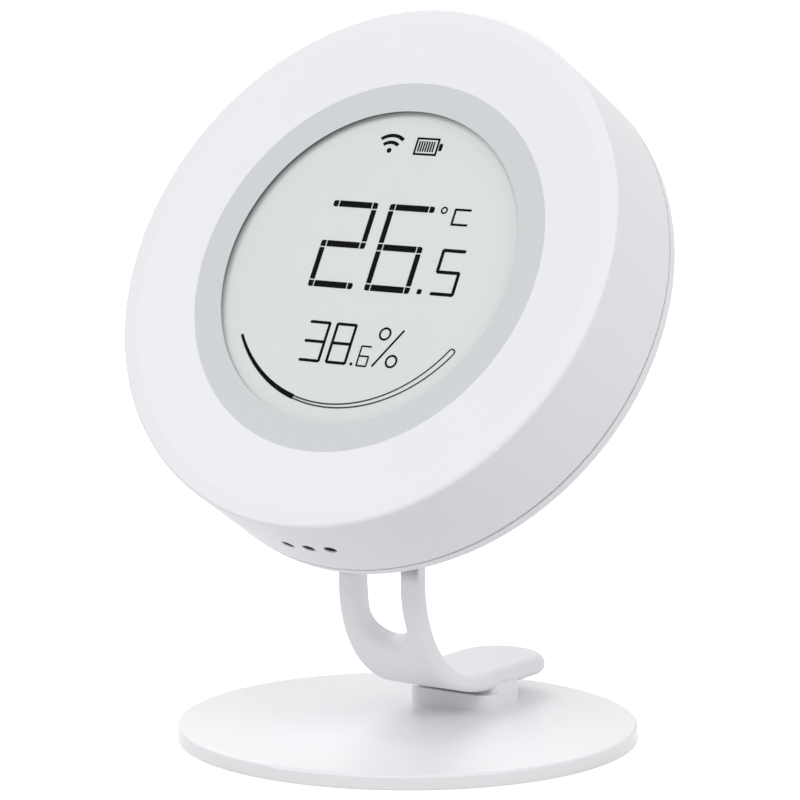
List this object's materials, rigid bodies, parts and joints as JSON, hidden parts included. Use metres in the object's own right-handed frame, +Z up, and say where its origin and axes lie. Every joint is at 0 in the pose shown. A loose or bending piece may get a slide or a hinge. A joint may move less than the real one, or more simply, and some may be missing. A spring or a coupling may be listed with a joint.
{
  "type": "temperature humidity sensor",
  "caption": "Round desk sensor that shows temperature and humidity on an LCD, with a tilting head on a forked bracket over a thin round base.",
  "frame": {"origin": "centre of the base on the table", "axes": "+Z up, the display faces -Y, +X to the viewer's right"},
  "size_m": [0.078, 0.0644, 0.1011],
  "materials": {
    "white_shell": "fine matte white moulding",
    "base_coat": "matte white powder coat on steel",
    "foot_rubber": "matte non-slip pad",
    "screw_steel": "plated steel",
    "washer_bronze": "bronze spring washer",
    "clear_lens": "clear, faint gloss",
    "grey_mask": "light grey print",
    "black_foam": "black foam",
    "lcd_glass": "pale grey-green reflective LCD",
    "inner_plastic": "white moulding",
    "zebra_rubber": "striped elastomer",
    "board_green": "green solder mask",
    "shield_can": "tinned shield can",
    "chip_black": "black moulded package",
    "duct_rubber": "soft grey boot",
    "mesh_steel": "fine woven mesh",
    "switch_plastic": "black switch",
    "button_grey": "pale grey button",
    "cell_sleeve": "plain sleeve with bare ends",
    "contact_nickel": "nickel plated sheet",
    "lead_red": "insulated wire"
  },
  "bodies": {
    "stand": {"foot_pad": "foot_rubber", "base_plate": "base_coat", "base_socket": "white_shell", "base_screws": "screw_steel", "bracket": "white_shell", "bracket_screw": "screw_steel", "tilt_pin": "screw_steel", "friction_washers": "washer_bronze"},
    "head": {"front_housing": "white_shell", "display_lens": "clear_lens", "display_mask": "grey_mask", "display_gasket": "black_foam", "lcd_panel": "lcd_glass", "lcd_carrier": "inner_plastic", "zebra_strip": "zebra_rubber", "main_board": "board_green", "radio_module": "shield_can", "controller_chip": "chip_black", "sensor_chip": "chip_black", "sensor_duct": "duct_rubber", "vent_mesh": "mesh_steel", "tact_switch": "switch_plastic", "rear_cover": "white_shell", "case_screws": "screw_steel", "display_screws": "screw_steel", "battery_cell_upper": "cell_sleeve", "battery_cell_lower": "cell_sleeve", "contact_bridge": "contact_nickel", "contact_positive": "contact_nickel", "contact_negative": "contact_nickel", "battery_leads": "lead_red"},
    "door": {"battery_door": "white_shell"},
    "button": {"unit_button": "button_grey", "switch_plunger": "switch_plastic"}
  },
  "joints": [
    {"name": "head_tilt", "type": "hinge", "parent": "stand", "child": "head", "pos_m": [0, -0.0061, 0.03355], "axis": [-1, 0, 0], "range_deg": [-30, 30]},
    {"name": "door_swing", "type": "hinge", "parent": "head", "child": "door", "pos_m": [0, 0.00498, 0.06174], "axis": [-1, 0, 0], "range_deg": [0, 100]},
    {"name": "button_press", "type": "slide", "parent": "head", "child": "button", "axis": [0, -0.866, 0.5], "range_m": [0, 0.0004], "stiffness_N_per_m": 3000}
  ]
}
